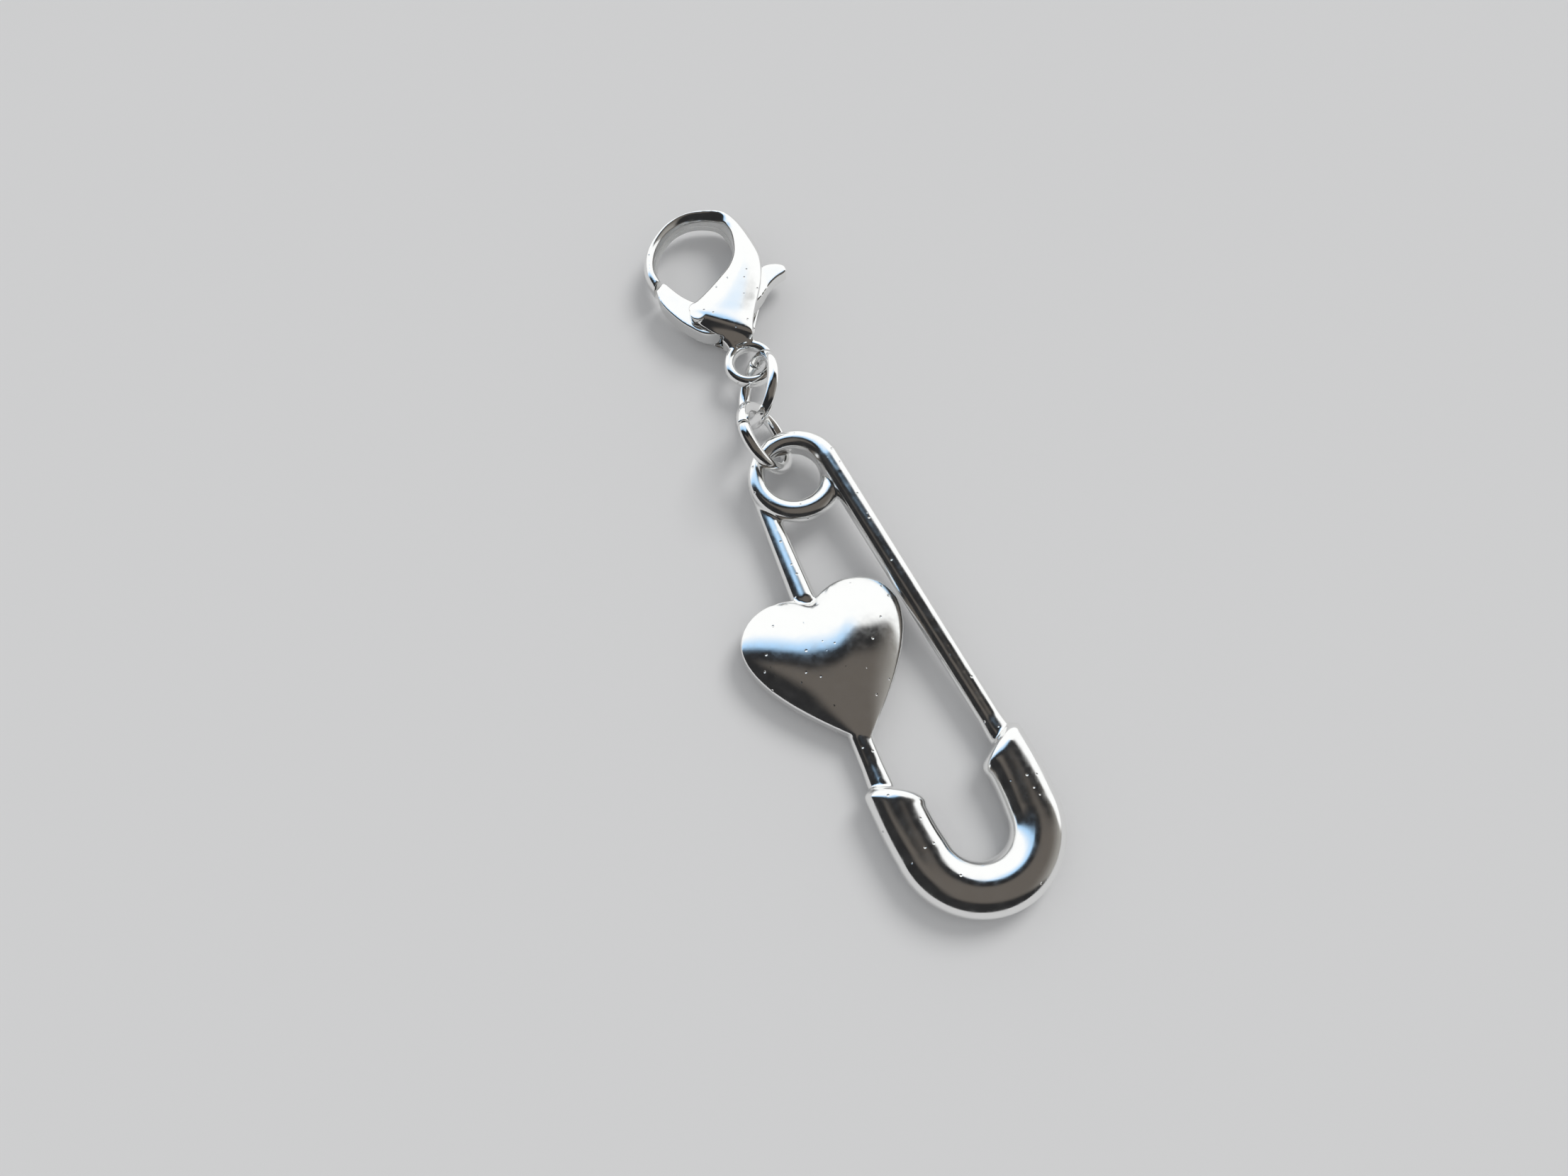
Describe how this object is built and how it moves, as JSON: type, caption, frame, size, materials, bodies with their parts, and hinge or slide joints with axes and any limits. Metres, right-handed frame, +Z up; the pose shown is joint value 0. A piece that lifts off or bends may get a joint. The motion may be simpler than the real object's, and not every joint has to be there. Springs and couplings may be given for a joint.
{
  "type": "safety pin charm",
  "caption": "Cast safety pin charm with a domed heart on one leg, hung by linked jump rings from a lobster clasp with a sprung thumb lever.",
  "frame": {"origin": "middle of the flat back of the U-shaped cap, under the middle of its bend, where the charm rests on the table", "axes": "+Y runs from the cap along the pin to the coil and on to the clasp hook, +Z is up out of the charm's front face, +X is to the right seen from the front, on the side of the straight leg"},
  "size_m": [0.0149, 0.0541, 0.0051],
  "materials": {
    "bright_plating": "bright silver-coloured plating, mirror polished over a cast surface with fine pits",
    "lever_plating": "bright plating, slightly softer than the clasp body",
    "ring_plating": "bright plated wire",
    "rivet_steel": "plain drawn steel, unseen inside the clasp"
  },
  "bodies": {
    "pin": {"pin_casting": "bright_plating"},
    "lower_ring": {"lower_jump_ring": "ring_plating"},
    "upper_ring": {"upper_jump_ring": "ring_plating"},
    "clasp": {"clasp_body": "bright_plating", "lever_rivet": "rivet_steel", "lever_spring": "rivet_steel"},
    "lever": {"clasp_lever": "lever_plating"}
  },
  "joints": [
    {"name": "ring_on_coil", "type": "hinge", "parent": "pin", "child": "lower_ring", "pos_m": [-0.00057, 0.03212, 0.00198], "axis": [0.9744, 0.225, 0], "range_deg": [-25, 12]},
    {"name": "ring_in_ring", "type": "hinge", "parent": "lower_ring", "child": "upper_ring", "pos_m": [-0.00036, 0.03525, 0.00223], "axis": [-0.5478, 0.1458, 0.8238], "range_deg": [-40, 40]},
    {"name": "eye_on_ring", "type": "hinge", "parent": "upper_ring", "child": "clasp", "pos_m": [0.00046, 0.0375, 0.00184], "axis": [0.9616, -0.2744, 0.0024], "range_deg": [-40, 5]},
    {"name": "lever_pivot", "type": "hinge", "parent": "clasp", "child": "lever", "pos_m": [0.00041, 0.04297, 0.00172], "axis": [-0.004, -0.0227, -0.9997], "range_deg": [0, 24], "stiffness_Nm_per_rad": 0.004, "springref_deg": -28.65}
  ]
}
